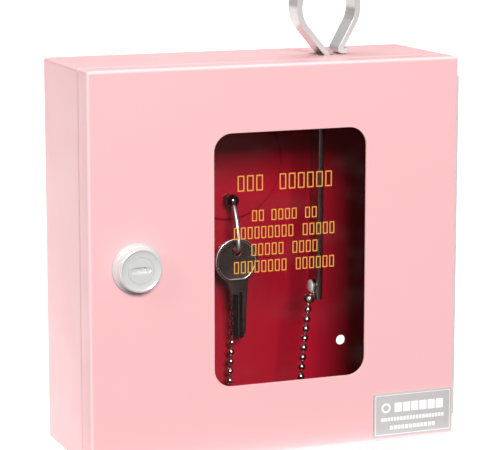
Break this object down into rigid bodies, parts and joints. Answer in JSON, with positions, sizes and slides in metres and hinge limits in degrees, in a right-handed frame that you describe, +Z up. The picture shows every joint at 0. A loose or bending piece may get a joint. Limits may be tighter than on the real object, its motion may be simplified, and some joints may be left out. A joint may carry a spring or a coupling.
{
  "type": "key cabinet",
  "caption": "Square wall-mounted emergency key cabinet with a hinged door, break-glass window, cam lock, key on a hook and a chained hammer in a slot in the top",
  "frame": {"origin": "centre of the wall face (the flat back of the box)", "axes": "+Z up, +Y into the wall, so the door faces -Y; +X to the right seen from the front (hinge side)"},
  "size_m": [0.1646, 0.064, 0.1937],
  "materials": {
    "enamel": "smooth pale pink enamel, satin gloss",
    "inner_enamel": "glossy deep red enamel inside",
    "glass": "clear window glass with a printed notice",
    "legend_print": "amber screen print",
    "label": "pale grey adhesive plate with plain bars",
    "chrome": "bright chrome plate",
    "zinc": "zinc plated steel",
    "nickel": "dark nickel plated brass"
  },
  "bodies": {
    "cabinet": {"body_wrapper": "enamel", "back_panel": "inner_enamel", "key_hook": "chrome", "hook_collar": "zinc", "anchor_tab": "zinc", "anchor_rivet": "zinc", "chain_run_anchor": "chrome", "chain_slack": "chrome", "hinge_leaf_body": "zinc", "hinge_pin": "zinc", "hinge_rivet_body_1": "zinc", "hinge_rivet_body_2": "zinc", "hinge_rivet_body_3": "zinc"},
    "door": {"door_panel": "enamel", "glass_pane": "glass", "glass_channel_left": "zinc", "glass_channel_right": "zinc", "glass_channel_bottom": "zinc", "glass_clip": "zinc", "clip_stud": "zinc", "clip_nut": "zinc", "label_plate": "label", "lock_housing": "chrome", "lock_washer": "zinc", "lock_nut": "zinc", "hinge_leaf_door": "zinc", "hinge_rivet_door_1": "zinc", "hinge_rivet_door_2": "zinc", "hinge_rivet_door_3": "zinc"},
    "lock_barrel": {"lock_plug": "chrome", "lock_cam": "zinc", "cam_screw": "zinc"},
    "key": {"key": "nickel"},
    "hammer": {"hammer_strip": "chrome", "hammer_rivet": "zinc", "chain_tab_hammer": "zinc", "chain_run_hammer": "chrome"}
  },
  "joints": [
    {"name": "door_hinge", "type": "hinge", "parent": "cabinet", "child": "door", "pos_m": [0.0824, -0.0468, 0], "axis": [0, 0, 1], "range_deg": [0, 170]},
    {"name": "lock_turn", "type": "hinge", "parent": "door", "child": "lock_barrel", "pos_m": [-0.0603, -0.058, 0.0015], "axis": [0, -1, 0], "range_deg": [0, 90]},
    {"name": "key_swing", "type": "hinge", "parent": "cabinet", "child": "key", "pos_m": [-0.0007, -0.013, -0.00325], "axis": [0, 1, 0], "range_deg": [-25, 25]},
    {"name": "hammer_lift", "type": "slide", "parent": "cabinet", "child": "hammer", "axis": [0, 0, 1], "range_m": [0, 0.09]}
  ]
}
